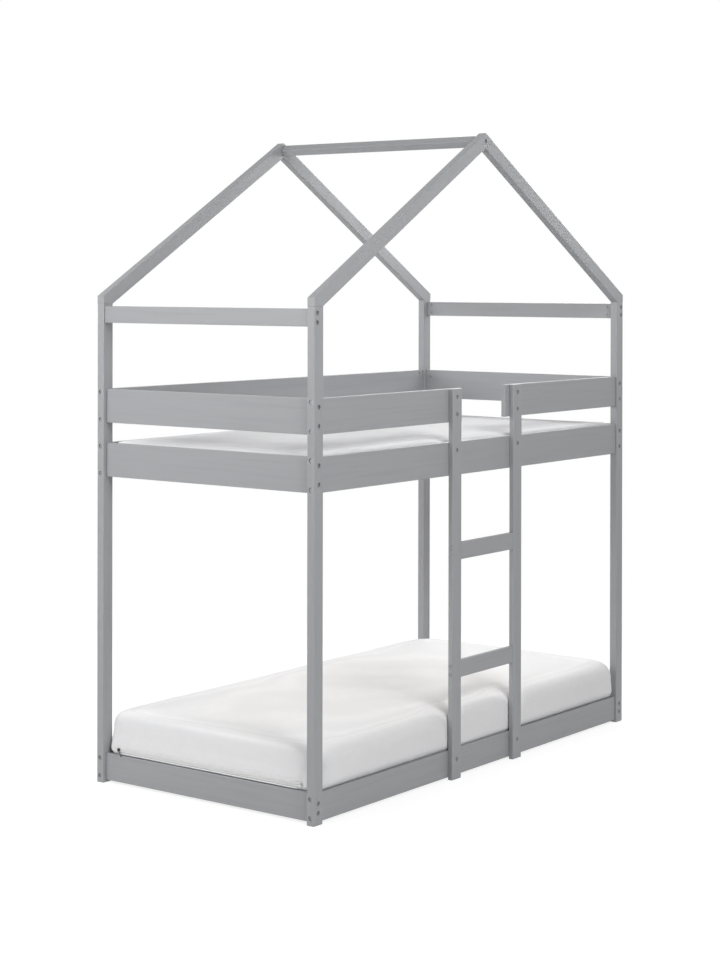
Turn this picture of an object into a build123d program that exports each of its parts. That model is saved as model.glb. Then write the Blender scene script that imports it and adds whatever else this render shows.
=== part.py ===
from build123d import *
from collections import namedtuple
import math
import os

# Bunk bed with a house-shaped top frame, in millimetres.
# X runs along the long side, Y across the bed, and Z up from the floor.
# The ladder is on the front, the low-Y side, so left and right are as seen from the ladder.
# The origin is on the floor, under the middle of the bed with its ladder.

# Frame
bed_length = 1985.0  # over the posts, along X
bed_depth = 972.0  # over the posts, along Y
post_width = 46.0  # along X
post_depth = 30.0  # along Y
post_height = 1678.0
board_thickness = 18.0
eased_edge = 2.0  # radius on the planed edges of every painted piece
eased_slat_edge = 1.0

# Roof
roof_pitch = 30.65  # degrees
rafter_height = 48.0  # square to its length
ridge_bar_side = 30.0
ridge_bar_drop = 8.5  # from the peak down to the bar's upper corner

# Boards
top_rail_height = 58.0
top_rail_drop = 8.0  # below the post's top
top_rail_setback = 5.0  # from the post's outer face
guard_top = 1380.0
guard_height = 118.0
upper_rail_top = 1191.0
upper_rail_height = 118.0
lower_rail_top = 102.5
lower_rail_height = 93.5

# Ladder
ladder_width = 450.0
stile_width = 56.0
stile_thickness = 18.0
upper_rung_top = 835.5
lower_rung_top = 418.0
rung_height = 61.0
rung_thickness = 16.0
guard_overlap = 28.0  # how far a front guard reaches past its stile, into the way in

# Slatted bases
ledge_depth = 22.0
ledge_height = 18.0
ledge_end_gap = 45.0  # clear of the cross nuts beside the posts
upper_ledge_rise = 1.0  # above the upper rail's lower edge
lower_ledge_rise = 38.0  # above the lower rail's lower edge
slat_count = 13
slat_width = 68.0
slat_thickness = 14.0
slat_end_gap = 3.0  # from a slat's end to the rail
tape_width = 25.0
tape_thickness = 0.8
tape_spread = 460.0  # between the two tapes of a base

# Mattresses
upper_mattress_height = 88.0
lower_mattress_height = 160.0
mattress_side_gap = 5.0
mattress_lift_gap = 0.3  # above the tapes
mattress_plan_radius = 40.0  # inside the rails
mattress_corner_radius = 20.0  # of the bulge over the rails
mattress_inner_radius = 6.0
mattress_edge_radius = 14.0
end_bulge = 10.0  # the lower mattress over its end rails
side_bulge = 16.5  # the lower mattress over its side rails
bulge_gap = 2.0  # above the rails' upper edges

# Zip on the lower mattress
zip_height = 121.0  # of the tape's centre line above the floor
zip_tape_width = 16.0
zip_tape_thickness = 1.0
zip_tape_end_gap = 14.0  # from the mattress corner's rounding
slider_length = 11.0
slider_width = 9.0
slider_thickness = 4.0
slider_corner_radius = 2.2
slider_clearance = 0.2
slider_start = 18.0  # from the back end of the tape
crown_thickness = 1.2
crown_gap = 0.25  # round the pull's end bar
pull_bar_radius = 0.8
pull_length = 26.0
pull_width = 6.0
pull_thickness = 1.4
pull_droop = 47.0  # degrees below level
pull_lean = 7.0  # degrees outward, so that it hangs clear of the rail

# Bolts and nuts
bolt_radius = 3.0
bolt_hole_radius = 3.5
head_radius = 7.0
head_thickness = 2.5
head_pocket_radius = 8.0
post_pocket_depth = 6.0
stile_pocket_depth = 5.0
socket_across = 4.0
socket_depth = 1.6
nut_radius = 5.0
nut_clearance = 0.1
nut_distance = 25.0  # from the board's end to the nut's axis
nut_length = 12.0
nut_slot_width = 1.4
nut_slot_depth = 1.5
bolt_tail = 6.0  # past the nut's axis
insert_radius = 5.0
insert_length = 13.0
long_bolt_edge = 11.5  # side boards: from the board's edge to the bolt
end_bolt_edge = 28.0  # end boards: from the board's edge to the bolt
lower_long_bolt_edge = 15.75
lower_end_bolt_edge = 31.25
top_rail_bolt_edge = 13.5
rung_bolt_edge = 15.7
guard_ladder_bolt_edge = 28.0

# Screws and dowels
foot_screw_radius = 2.5
foot_screw_head_radius = 4.5
foot_screw_pocket_radius = 5.0
foot_screw_pocket_depth = 5.0  # measured at the screw's axis, from the sloping face
foot_screw_pocket_reach = 40.0  # up past the sloping face
foot_screw_head = 3.0
foot_screw_length = 80.0
foot_dowel_radius = 4.0
foot_dowel_length = 40.0
foot_dowel_inset = 9.0  # from the post's inner face
dowel_clearance = 0.05
ledge_screw_radius = 2.0
ledge_screw_head_radius = 4.0
ledge_screw_head = 2.0
ledge_screw_length = 32.0
ledge_screw_count = 6
ledge_screw_end = 60.0
slat_screw_radius = 1.75
slat_screw_head_radius = 3.5
slat_screw_head = 1.8
slat_screw_length = 27.0
screwed_slats = (0, slat_count // 2, slat_count - 1)

same_place = 0.01  # two places closer than this are one

# Places worked out from the sizes
side_setback = (post_depth - board_thickness) / 2
end_setback = (post_width - board_thickness) / 2
ladder_proud = stile_thickness - side_setback
left = -bed_length / 2
right = bed_length / 2
front = -bed_depth / 2 + ladder_proud / 2
back = front + bed_depth
middle_y = (front + back) / 2
post_left = left + post_width
post_right = right - post_width
post_front = front + post_depth
post_back = back - post_depth
inner_left = left + end_setback + board_thickness
inner_right = right - end_setback - board_thickness
inner_front = front + side_setback + board_thickness
inner_back = back - side_setback - board_thickness
ladder_front = front - ladder_proud
ladder_back = front + side_setback
slope = math.tan(math.radians(roof_pitch))
rafter_plumb = rafter_height / math.cos(math.radians(roof_pitch))
foot_rise = rafter_plumb - post_width * slope
foot_top = post_height + foot_rise
peak = foot_top + right * slope
lap_reach = rafter_plumb / (2 * slope)
ridge_half_diagonal = ridge_bar_side / math.sqrt(2)
ridge_height = peak - ridge_bar_drop - ridge_half_diagonal
upper_rail_bottom = upper_rail_top - upper_rail_height
lower_rail_bottom = lower_rail_top - lower_rail_height
upper_ledge_top = upper_rail_bottom + upper_ledge_rise + ledge_height
lower_ledge_top = lower_rail_bottom + lower_ledge_rise + ledge_height
stile_offset = (ladder_width - stile_width) / 2
inner_stile_edge = ladder_width / 2 - stile_width

toward_right = Vector(1, 0, 0)
toward_left = Vector(-1, 0, 0)
toward_back = Vector(0, 1, 0)
toward_front = Vector(0, -1, 0)
downward = Vector(0, 0, -1)

# A bolt that goes through one piece and into a cross nut in the end of another.
# mouth is on the first piece's outer face, span is what it passes through there,
# nut_side points to the face that the nut is put in from, and wood is the second piece's thickness.
CrossBolt = namedtuple("CrossBolt", "mouth inward span pocket nut_side wood")

# A bolt that goes square through a stile and into an insert nut in the board behind it.
FaceBolt = namedtuple("FaceBolt", "mouth")


def block(x_low, x_high, y_low, y_high, z_low, z_high):
    size = (x_high - x_low, y_high - y_low, z_high - z_low)
    corner = Location((x_low, y_low, z_low))
    return corner * Box(*size, align=(Align.MIN, Align.MIN, Align.MIN))


def rounded_block(x_low, x_high, y_low, y_high, z_low, z_high):
    """A planed piece of wood with all its edges eased."""
    body = block(x_low, x_high, y_low, y_high, z_low, z_high)
    return fillet(body.edges(), eased_edge)


def rod(radius, start, direction, length):
    return Solid.make_cylinder(radius, length, Plane(origin=start, z_dir=direction))


def upright_profile(points, y_low, y_high):
    corners = [(x, y_low, z) for x, z in points]
    face = make_face(Polyline(*corners, close=True))
    return extrude(face, amount=y_high - y_low, dir=(0, 1, 0))


def group(solids):
    return Compound(children=list(solids))


# Bolts and their holes

def bolt_holes_outer(bolt):
    """Holes in the piece under the head."""
    hole = rod(bolt_hole_radius, bolt.mouth, bolt.inward, bolt.span)
    if bolt.pocket > 0:
        hole += rod(head_pocket_radius, bolt.mouth, bolt.inward, bolt.pocket)
    return hole


def nut_axis_point(bolt):
    return bolt.mouth + bolt.inward * (bolt.span + nut_distance)


def bolt_holes_inner(bolt):
    """Holes in the piece that holds the nut."""
    start = bolt.mouth + bolt.inward * bolt.span
    hole = rod(bolt_hole_radius, start, bolt.inward, nut_distance + bolt_tail + nut_clearance)
    face = nut_axis_point(bolt) + bolt.nut_side * (bolt.wood / 2)
    depth = (bolt.wood + nut_length) / 2
    return hole + rod(nut_radius + nut_clearance, face, bolt.nut_side * -1, depth)


def socket_bolt(seat, direction, shank):
    outer = seat - direction * head_thickness
    head = rod(head_radius, outer, direction, head_thickness)
    key = RegularPolygon(socket_across / 2, 6, major_radius=False)
    socket = extrude(Plane(origin=outer, z_dir=direction) * key, amount=socket_depth)
    return head + rod(bolt_radius, seat, direction, shank) - socket


def cross_bolt_solid(bolt):
    seat = bolt.mouth + bolt.inward * bolt.pocket
    return socket_bolt(seat, bolt.inward, bolt.span - bolt.pocket + nut_distance + bolt_tail)


def cross_nut(bolt):
    """A short cylinder across the board, with a slot on its outer end to turn it in line."""
    face = nut_axis_point(bolt) + bolt.nut_side * (nut_length / 2)
    body = rod(nut_radius, face, bolt.nut_side * -1, nut_length)
    start = bolt.mouth + bolt.inward * bolt.span
    body -= rod(bolt_radius, start, bolt.inward, nut_distance + 2 * nut_radius)
    slot_plane = Plane(origin=face, x_dir=bolt.inward, z_dir=bolt.nut_side * -1)
    slot = slot_plane * Rectangle(2 * nut_radius, nut_slot_width)
    return body - extrude(slot, amount=nut_slot_depth)


def with_outer_holes(solid, bolts):
    for bolt in bolts:
        solid -= bolt_holes_outer(bolt)
    return solid


def with_inner_holes(solid, bolts):
    for bolt in bolts:
        solid -= bolt_holes_inner(bolt)
    return solid


def levels(top, height, edge):
    return (top - edge, top - height + edge)


def side_bolts(is_left, is_front, top, height, edge):
    """Bolts through a post's end face into a board that runs along X."""
    x = left if is_left else right
    y = front + post_depth / 2 if is_front else back - post_depth / 2
    inward = toward_right if is_left else toward_left
    nut_side = toward_back if is_front else toward_front
    return [
        CrossBolt(Vector(x, y, z), inward, post_width, post_pocket_depth, nut_side, board_thickness)
        for z in levels(top, height, edge)
    ]


def end_bolts(is_left, is_front, top, height, edge, setback):
    """Bolts through a post's front or back face into a board that runs along Y."""
    middle = setback + board_thickness / 2
    x = left + middle if is_left else right - middle
    y = front if is_front else back
    inward = toward_back if is_front else toward_front
    nut_side = toward_right if is_left else toward_left
    return [
        CrossBolt(Vector(x, y, z), inward, post_depth, post_pocket_depth, nut_side, board_thickness)
        for z in levels(top, height, edge)
    ]


def guard_side_bolts(is_left, is_front):
    return side_bolts(is_left, is_front, guard_top, guard_height, long_bolt_edge)


def upper_side_bolts(is_left, is_front):
    return side_bolts(is_left, is_front, upper_rail_top, upper_rail_height, long_bolt_edge)


def lower_side_bolts(is_left, is_front):
    return side_bolts(is_left, is_front, lower_rail_top, lower_rail_height, lower_long_bolt_edge)


def guard_end_bolts(is_left, is_front):
    return end_bolts(is_left, is_front, guard_top, guard_height, end_bolt_edge, end_setback)


def upper_end_bolts(is_left, is_front):
    return end_bolts(is_left, is_front, upper_rail_top, upper_rail_height, end_bolt_edge, end_setback)


def lower_end_bolts(is_left, is_front):
    return end_bolts(
        is_left, is_front, lower_rail_top, lower_rail_height, lower_end_bolt_edge, end_setback
    )


def top_rail_bolts(is_left, is_front):
    top = post_height - top_rail_drop
    return end_bolts(
        is_left, is_front, top, top_rail_height, top_rail_bolt_edge, top_rail_setback
    )


def side_post_bolts(is_left, is_front):
    return (
        guard_side_bolts(is_left, is_front)
        + upper_side_bolts(is_left, is_front)
        + lower_side_bolts(is_left, is_front)
    )


def end_post_bolts(is_left, is_front):
    return (
        guard_end_bolts(is_left, is_front)
        + upper_end_bolts(is_left, is_front)
        + lower_end_bolts(is_left, is_front)
        + top_rail_bolts(is_left, is_front)
    )


# Posts and roof

def foot_screw_x(is_left):
    inset = post_width / 2
    return left + inset if is_left else right - inset


def foot_screw_seat(is_left, is_front):
    """The point under the foot screw's head."""
    y = front + post_depth / 2 if is_front else back - post_depth / 2
    z = foot_top + post_width / 2 * slope - foot_screw_pocket_depth
    return Vector(foot_screw_x(is_left), y, z)


def foot_screw(is_left, is_front):
    seat = foot_screw_seat(is_left, is_front)
    top = seat + Vector(0, 0, foot_screw_head)
    head = rod(foot_screw_head_radius, top, downward, foot_screw_head)
    return head + rod(foot_screw_radius, seat, downward, foot_screw_length)


def foot_screw_hole(is_left, is_front):
    seat = foot_screw_seat(is_left, is_front)
    pocket = rod(foot_screw_pocket_radius, seat, downward * -1, foot_screw_pocket_reach)
    return pocket + rod(foot_screw_radius, seat, downward, foot_screw_length)


def foot_dowel_rod(is_left, is_front, radius):
    inset = post_width - foot_dowel_inset
    x = left + inset if is_left else right - inset
    y = front + post_depth / 2 if is_front else back - post_depth / 2
    return rod(radius, Vector(x, y, post_height + foot_dowel_length / 2), downward, foot_dowel_length)


def corner_post(is_left, is_front):
    x_low = left if is_left else post_right
    y_low = front if is_front else post_back
    post = rounded_block(x_low, x_low + post_width, y_low, y_low + post_depth, 0, post_height)
    post = with_outer_holes(post, side_post_bolts(is_left, is_front))
    post = with_outer_holes(post, end_post_bolts(is_left, is_front))
    post -= foot_screw_hole(is_left, is_front)
    return post - foot_dowel_rod(is_left, is_front, foot_dowel_radius + dowel_clearance)


def sloping_bar(sign, y_low):
    """A straight bar with eased edges along one slope, longer than the rafter at both ends."""
    spare = rafter_height
    reach = right / math.cos(math.radians(roof_pitch)) + 2 * spare
    bar = Box(reach, post_depth, rafter_height, align=(Align.MAX, Align.MIN, Align.MAX))
    bar = fillet(bar.edges().filter_by(Axis.X), eased_edge)
    bar = Location((0, y_low, peak)) * Rotation(0, -roof_pitch, 0) * Location((spare, 0, 0)) * bar
    return bar if sign > 0 else mirror(bar, about=Plane.YZ)


def rafter(is_left, is_front):
    """One rafter. The left one keeps its front half over the lap, the right one its back half."""
    sign = 1 if is_left else -1
    y_low = front if is_front else post_back
    y_high = y_low + post_depth
    y_half = y_low + post_depth / 2
    own_side = [
        (left, post_height),
        (left, foot_top),
        (0, peak),
        (0, peak - rafter_plumb),
        (post_left, post_height),
    ]
    lap = [(0, peak), (lap_reach, peak - rafter_plumb / 2), (0, peak - rafter_plumb)]
    own_lap = [(-x, z) for x, z in lap]
    kept = (y_low, y_half) if is_left else (y_half, y_high)
    cut = (y_half, y_high) if is_left else (y_low, y_half)
    room = upright_profile([(sign * x, z) for x, z in own_side], y_low, y_high)
    room -= upright_profile([(sign * x, z) for x, z in own_lap], *cut)
    room += upright_profile([(sign * x, z) for x, z in lap], *kept)
    body = sloping_bar(sign, y_low) & room
    body -= foot_screw_hole(is_left, is_front)
    body -= foot_dowel_rod(is_left, is_front, foot_dowel_radius + dowel_clearance)
    return with_outer_holes(body, [apex_bolt(is_front)])


def apex_bolt(is_front):
    y = front if is_front else back
    inward = toward_back if is_front else toward_front
    nut_side = Vector(1, 0, -1).normalized()
    mouth = Vector(0, y, ridge_height)
    return CrossBolt(mouth, inward, post_depth, post_pocket_depth, nut_side, ridge_bar_side)


def ridge_bar():
    bar = Box(ridge_bar_side, post_back - post_front, ridge_bar_side)
    bar = fillet(bar.edges(), eased_edge)
    bar = Location((0, middle_y, ridge_height)) * Rotation(0, 45, 0) * bar
    return with_inner_holes(bar, [apex_bolt(True), apex_bolt(False)])


# Boards

def end_board(is_left, top, height, setback, bolts):
    x_low = left + setback if is_left else right - setback - board_thickness
    board = rounded_block(
        x_low, x_low + board_thickness, post_front, post_back, top - height, top
    )
    board = with_inner_holes(board, bolts(is_left, True))
    return with_inner_holes(board, bolts(is_left, False))


def side_board(is_front, top, height, bolts):
    y_low = front + side_setback if is_front else inner_back
    board = rounded_block(
        post_left, post_right, y_low, y_low + board_thickness, top - height, top
    )
    board = with_inner_holes(board, bolts(True, is_front))
    return with_inner_holes(board, bolts(False, is_front))


def front_guard(is_left):
    reach = inner_stile_edge - guard_overlap
    x_low = post_left if is_left else reach
    x_high = -reach if is_left else post_right
    y_low = front + side_setback
    bottom = guard_top - guard_height
    board = rounded_block(x_low, x_high, y_low, y_low + board_thickness, bottom, guard_top)
    board = with_inner_holes(board, guard_side_bolts(is_left, True))
    return with_insert_holes(board, guard_face_bolts(is_left))


# Ladder

def stile_centre(is_left):
    return -stile_offset if is_left else stile_offset


def guard_face_bolts(is_left):
    heights = levels(guard_top, guard_height, guard_ladder_bolt_edge)
    return [FaceBolt(Vector(stile_centre(is_left), ladder_front, z)) for z in heights]


def upper_rail_face_bolts(is_left):
    z = upper_rail_top - end_bolt_edge
    return [FaceBolt(Vector(stile_centre(is_left), ladder_front, z))]


def lower_rail_face_bolts(is_left):
    z = lower_rail_top - lower_end_bolt_edge
    return [FaceBolt(Vector(stile_centre(is_left), ladder_front, z))]


def ladder_face_bolts(is_left):
    return guard_face_bolts(is_left) + upper_rail_face_bolts(is_left) + lower_rail_face_bolts(is_left)


def with_insert_holes(solid, bolts):
    for bolt in bolts:
        start = Vector(bolt.mouth.X, ladder_back, bolt.mouth.Z)
        solid -= rod(insert_radius, start, toward_back, insert_length)
    return solid


def face_bolt_solid(bolt):
    seat = bolt.mouth + toward_back * stile_pocket_depth
    return socket_bolt(seat, toward_back, stile_thickness - stile_pocket_depth + insert_length)


def insert_nut(bolt):
    start = Vector(bolt.mouth.X, ladder_back, bolt.mouth.Z)
    nut = rod(insert_radius, start, toward_back, insert_length)
    return nut - rod(bolt_radius, start, toward_back, insert_length)


def rung_bolts(is_left, top):
    x = -ladder_width / 2 if is_left else ladder_width / 2
    y = ladder_front + stile_thickness / 2
    inward = toward_right if is_left else toward_left
    return [
        CrossBolt(Vector(x, y, z), inward, stile_width, 0, toward_back, rung_thickness)
        for z in levels(top, rung_height, rung_bolt_edge)
    ]


def both_rung_bolts(is_left):
    return rung_bolts(is_left, upper_rung_top) + rung_bolts(is_left, lower_rung_top)


def stile(is_left):
    centre = stile_centre(is_left)
    low = centre - stile_width / 2
    body = rounded_block(low, low + stile_width, ladder_front, ladder_back, 0, guard_top)
    for bolt in ladder_face_bolts(is_left):
        body -= rod(bolt_hole_radius, bolt.mouth, toward_back, stile_thickness)
        body -= rod(head_pocket_radius, bolt.mouth, toward_back, stile_pocket_depth)
    return with_outer_holes(body, both_rung_bolts(is_left))


def rung(top):
    y_low = ladder_front + (stile_thickness - rung_thickness) / 2
    x_reach = inner_stile_edge
    body = rounded_block(
        -x_reach, x_reach, y_low, y_low + rung_thickness, top - rung_height, top
    )
    body = with_inner_holes(body, rung_bolts(True, top))
    return with_inner_holes(body, rung_bolts(False, top))


def front_rail(top, height, bolts, face_bolts):
    board = side_board(True, top, height, bolts)
    board = with_insert_holes(board, face_bolts(True))
    return with_insert_holes(board, face_bolts(False))


# Slatted bases

def ledge_low_y(is_front):
    return inner_front if is_front else inner_back - ledge_depth


def ledge_screw_places(is_front, ledge_top):
    low = post_left + ledge_end_gap + ledge_screw_end
    step = -2 * low / (ledge_screw_count - 1)
    y = inner_front + ledge_depth if is_front else inner_back - ledge_depth
    z = ledge_top - ledge_height / 2
    return [Vector(low + step * index, y, z) for index in range(ledge_screw_count)]


def ledge_screw(place, is_front):
    into = toward_front if is_front else toward_back
    head = rod(ledge_screw_head_radius, place, into, ledge_screw_head)
    return head + rod(ledge_screw_radius, place, into, ledge_screw_length)


def ledge(is_front, ledge_top):
    x_reach = post_right - ledge_end_gap
    y_low = ledge_low_y(is_front)
    strip = block(
        -x_reach, x_reach, y_low, y_low + ledge_depth, ledge_top - ledge_height, ledge_top
    )
    for place in ledge_screw_places(is_front, ledge_top):
        strip -= ledge_screw(place, is_front)
    for x in slat_screw_xs():
        strip -= slat_screw(x, slat_screw_y(is_front), ledge_top)
    return strip


def with_ledge_screw_holes(board, is_front, ledge_top):
    for place in ledge_screw_places(is_front, ledge_top):
        board -= ledge_screw(place, is_front)
    return board


def slat_x(index):
    first = -(post_right - ledge_end_gap - slat_width / 2)
    return first + index * (-2 * first) / (slat_count - 1)


def slat_screw_xs():
    return [slat_x(index) for index in screwed_slats]


def slat_screw_y(is_front):
    return inner_front + ledge_depth / 2 if is_front else inner_back - ledge_depth / 2


def slat_screw(x, y, ledge_top):
    top = Vector(x, y, ledge_top + slat_thickness)
    head = rod(slat_screw_head_radius, top, downward, slat_screw_head)
    return head + rod(slat_screw_radius, top, downward, slat_screw_length)


def slat_screws(ledge_top):
    return [
        slat_screw(x, slat_screw_y(is_front), ledge_top)
        for x in slat_screw_xs()
        for is_front in (True, False)
    ]


def slat(index, ledge_top):
    centre = slat_x(index)
    body = block(
        centre - slat_width / 2,
        centre + slat_width / 2,
        inner_front + slat_end_gap,
        inner_back - slat_end_gap,
        ledge_top,
        ledge_top + slat_thickness,
    )
    body = fillet(body.edges().filter_by(Axis.Y), eased_slat_edge)
    if index in screwed_slats:
        for is_front in (True, False):
            body -= slat_screw(centre, slat_screw_y(is_front), ledge_top)
    return body


def slats(ledge_top):
    return group(slat(index, ledge_top) for index in range(slat_count))


def tapes(ledge_top):
    """The two webbing tapes that keep a base's slats apart."""
    x_reach = slat_x(slat_count - 1) + slat_width / 2
    low = ledge_top + slat_thickness
    strips = []
    for side in (-1, 1):
        y = middle_y + side * tape_spread / 2
        strips.append(
            block(-x_reach, x_reach, y - tape_width / 2, y + tape_width / 2, low, low + tape_thickness)
        )
    return group(strips)


# Mattresses

def cross_plan(x_reach, y_low, y_high, z):
    """The outline of a mattress that is notched round the four posts."""
    notch_x = post_right - mattress_side_gap
    notch_low = post_front + mattress_side_gap
    notch_high = post_back - mattress_side_gap
    corners = [
        (-x_reach, notch_low),
        (-notch_x, notch_low),
        (-notch_x, y_low),
        (notch_x, y_low),
        (notch_x, notch_low),
        (x_reach, notch_low),
        (x_reach, notch_high),
        (notch_x, notch_high),
        (notch_x, y_high),
        (-notch_x, y_high),
        (-notch_x, notch_high),
        (-x_reach, notch_high),
    ]
    return make_face(Polyline(*[(x, y, z) for x, y in corners], close=True))


def upper_mattress():
    low = upper_ledge_top + slat_thickness + tape_thickness + mattress_lift_gap
    body = block(
        inner_left + mattress_side_gap,
        inner_right - mattress_side_gap,
        inner_front + mattress_side_gap,
        inner_back - mattress_side_gap,
        low,
        low + upper_mattress_height,
    )
    body = fillet(body.edges().filter_by(Axis.Z), mattress_plan_radius)
    rims = body.faces().sort_by(Axis.Z)
    return fillet(rims[0].edges() + rims[-1].edges(), mattress_edge_radius)


def lower_mattress():
    low = lower_ledge_top + slat_thickness + tape_thickness + mattress_lift_gap
    ledge_of_bulge = lower_rail_top + bulge_gap
    high = low + lower_mattress_height
    inside = block(
        inner_left + mattress_side_gap,
        inner_right - mattress_side_gap,
        inner_front + mattress_side_gap,
        inner_back - mattress_side_gap,
        low,
        high - mattress_edge_radius,
    )
    inside = fillet(inside.edges().filter_by(Axis.Z), mattress_plan_radius)
    plan = cross_plan(
        -inner_left + end_bulge, inner_front - side_bulge, inner_back + side_bulge, ledge_of_bulge
    )
    bulge = extrude(plan, amount=high - ledge_of_bulge, dir=(0, 0, 1))
    bulge = round_upright_edges(bulge)
    top_rim = bulge.faces().sort_by(Axis.Z)[-1].edges()
    bulge = fillet(top_rim, mattress_edge_radius)
    return bulge + inside


def is_notch_corner(edge):
    """Tells whether an upright edge is the inner corner of a notch round a post."""
    place = edge.center()
    notch_x = post_right - mattress_side_gap
    notch_y = post_front + mattress_side_gap if place.Y < middle_y else post_back - mattress_side_gap
    return abs(abs(place.X) - notch_x) < same_place and abs(place.Y - notch_y) < same_place


def round_upright_edges(body):
    """Rounds the eight outer corners and the four inner ones of the notched outline."""
    outer = [edge for edge in body.edges().filter_by(Axis.Z) if not is_notch_corner(edge)]
    body = fillet(outer, mattress_corner_radius)
    inner = [edge for edge in body.edges().filter_by(Axis.Z) if is_notch_corner(edge)]
    return fillet(inner, mattress_inner_radius)


# Zip on the left end of the lower mattress

def zip_face_x():
    return inner_left - end_bulge


def zip_tape_back():
    return post_back - mattress_side_gap - mattress_corner_radius - zip_tape_end_gap


def zip_tape_front():
    return post_front + mattress_side_gap + mattress_corner_radius + zip_tape_end_gap


def zip_tape():
    x = zip_face_x()
    return block(
        x - zip_tape_thickness,
        x,
        zip_tape_front(),
        zip_tape_back(),
        zip_height - zip_tape_width / 2,
        zip_height + zip_tape_width / 2,
    )


def slider_centre_y():
    return zip_tape_back() - slider_start


def slider_outer_x():
    return zip_face_x() - zip_tape_thickness - slider_clearance - slider_thickness


def pull_axis_point():
    """The middle of the pull's end bar, which turns under the slider's crown."""
    x = slider_outer_x() - crown_gap - pull_bar_radius
    return Vector(x, slider_centre_y(), zip_height)


def zip_slider():
    """A rounded plate with a crown, the small arch that holds the pull."""
    y = slider_centre_y()
    x = slider_outer_x()
    plate = block(
        x,
        x + slider_thickness,
        y - slider_length / 2,
        y + slider_length / 2,
        zip_height - slider_width / 2,
        zip_height + slider_width / 2,
    )
    plate = fillet(plate.edges().filter_by(Axis.X), slider_corner_radius)
    inner = crown_gap + pull_bar_radius
    outer = inner + crown_thickness
    arch = Box(2 * outer, 2 * outer, crown_thickness) - Box(2 * inner, 2 * inner, crown_thickness)
    arch -= Location((inner + outer, 0, 0)) * Box(2 * outer, 2 * outer, crown_thickness)
    place = pull_axis_point()
    return plate + Location((place.X, place.Y, place.Z)) * Rotation(pull_droop, 0, 0) * arch


def zip_pull():
    """A flat stem with an end bar in the crown and a ring at its free end."""
    half_width = pull_width / 2
    hole_reach = math.sqrt(2) * (crown_gap + pull_bar_radius + crown_thickness) + crown_gap
    plate = Box(pull_thickness, hole_reach + half_width, pull_width)
    plate = Location((0, -(hole_reach + half_width) / 2, 0)) * plate
    hole = Box(pull_thickness, hole_reach, crown_thickness + 2 * crown_gap)
    plate -= Location((0, -hole_reach / 2, 0)) * hole
    stem = Box(pull_thickness, pull_length, half_width)
    stem = Location((0, -pull_length / 2, 0)) * stem
    stem -= Location((0, -hole_reach / 2, 0)) * Box(pull_thickness, hole_reach, pull_width)
    ring_start = Vector(-pull_thickness / 2, -pull_length, 0)
    ring = rod(half_width, ring_start, toward_right, pull_thickness)
    ring_hole = rod(half_width / 2, ring_start, toward_right, pull_thickness)
    end_bar = rod(pull_bar_radius, Vector(0, 0, -half_width), Vector(0, 0, 1), pull_width)
    body = plate + stem + ring + end_bar - ring_hole
    place = pull_axis_point()
    lean = Rotation(pull_droop, 0, 0) * Rotation(0, 0, -pull_lean)
    return Location((place.X, place.Y, place.Z)) * lean * body


# All pieces by name

def corner_name(is_left, is_front):
    return ("front" if is_front else "back") + "_" + ("left" if is_left else "right")


def end_name(is_left):
    return "left" if is_left else "right"


def ledge_name(level, is_front):
    return level + "_ledge_" + ("front" if is_front else "back")


def frame_parts():
    corners = [(is_left, is_front) for is_left in (True, False) for is_front in (True, False)]
    parts = {}
    for is_left, is_front in corners:
        parts["post_" + corner_name(is_left, is_front)] = corner_post(is_left, is_front)
        parts["rafter_" + corner_name(is_left, is_front)] = rafter(is_left, is_front)
    parts["ridge_bar"] = ridge_bar()
    for is_left in (True, False):
        end = end_name(is_left)
        top = post_height - top_rail_drop
        parts["top_rail_" + end] = end_board(
            is_left, top, top_rail_height, top_rail_setback, top_rail_bolts
        )
        parts["guard_end_" + end] = end_board(
            is_left, guard_top, guard_height, end_setback, guard_end_bolts
        )
        parts["upper_rail_end_" + end] = end_board(
            is_left, upper_rail_top, upper_rail_height, end_setback, upper_end_bolts
        )
        parts["lower_rail_end_" + end] = end_board(
            is_left, lower_rail_top, lower_rail_height, end_setback, lower_end_bolts
        )
        parts["guard_front_" + end] = front_guard(is_left)
    parts["guard_back"] = side_board(False, guard_top, guard_height, guard_side_bolts)
    parts["upper_rail_front"] = with_ledge_screw_holes(
        front_rail(upper_rail_top, upper_rail_height, upper_side_bolts, upper_rail_face_bolts),
        True,
        upper_ledge_top,
    )
    parts["upper_rail_back"] = with_ledge_screw_holes(
        side_board(False, upper_rail_top, upper_rail_height, upper_side_bolts), False, upper_ledge_top
    )
    parts["lower_rail_front"] = with_ledge_screw_holes(
        front_rail(lower_rail_top, lower_rail_height, lower_side_bolts, lower_rail_face_bolts),
        True,
        lower_ledge_top,
    )
    parts["lower_rail_back"] = with_ledge_screw_holes(
        side_board(False, lower_rail_top, lower_rail_height, lower_side_bolts), False, lower_ledge_top
    )
    return parts


def ladder_parts():
    parts = {}
    for is_left in (True, False):
        parts["ladder_stile_" + end_name(is_left)] = stile(is_left)
    parts["ladder_rung_upper"] = rung(upper_rung_top)
    parts["ladder_rung_lower"] = rung(lower_rung_top)
    return parts


def base_parts():
    parts = {}
    for level, ledge_top in (("upper", upper_ledge_top), ("lower", lower_ledge_top)):
        for is_front in (True, False):
            parts[ledge_name(level, is_front)] = ledge(is_front, ledge_top)
        parts[level + "_slats"] = slats(ledge_top)
        parts[level + "_slat_tapes"] = tapes(ledge_top)
        parts[level + "_slat_screws"] = group(slat_screws(ledge_top))
        parts[level + "_ledge_screws"] = group(
            ledge_screw(place, is_front)
            for is_front in (True, False)
            for place in ledge_screw_places(is_front, ledge_top)
        )
    return parts


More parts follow.
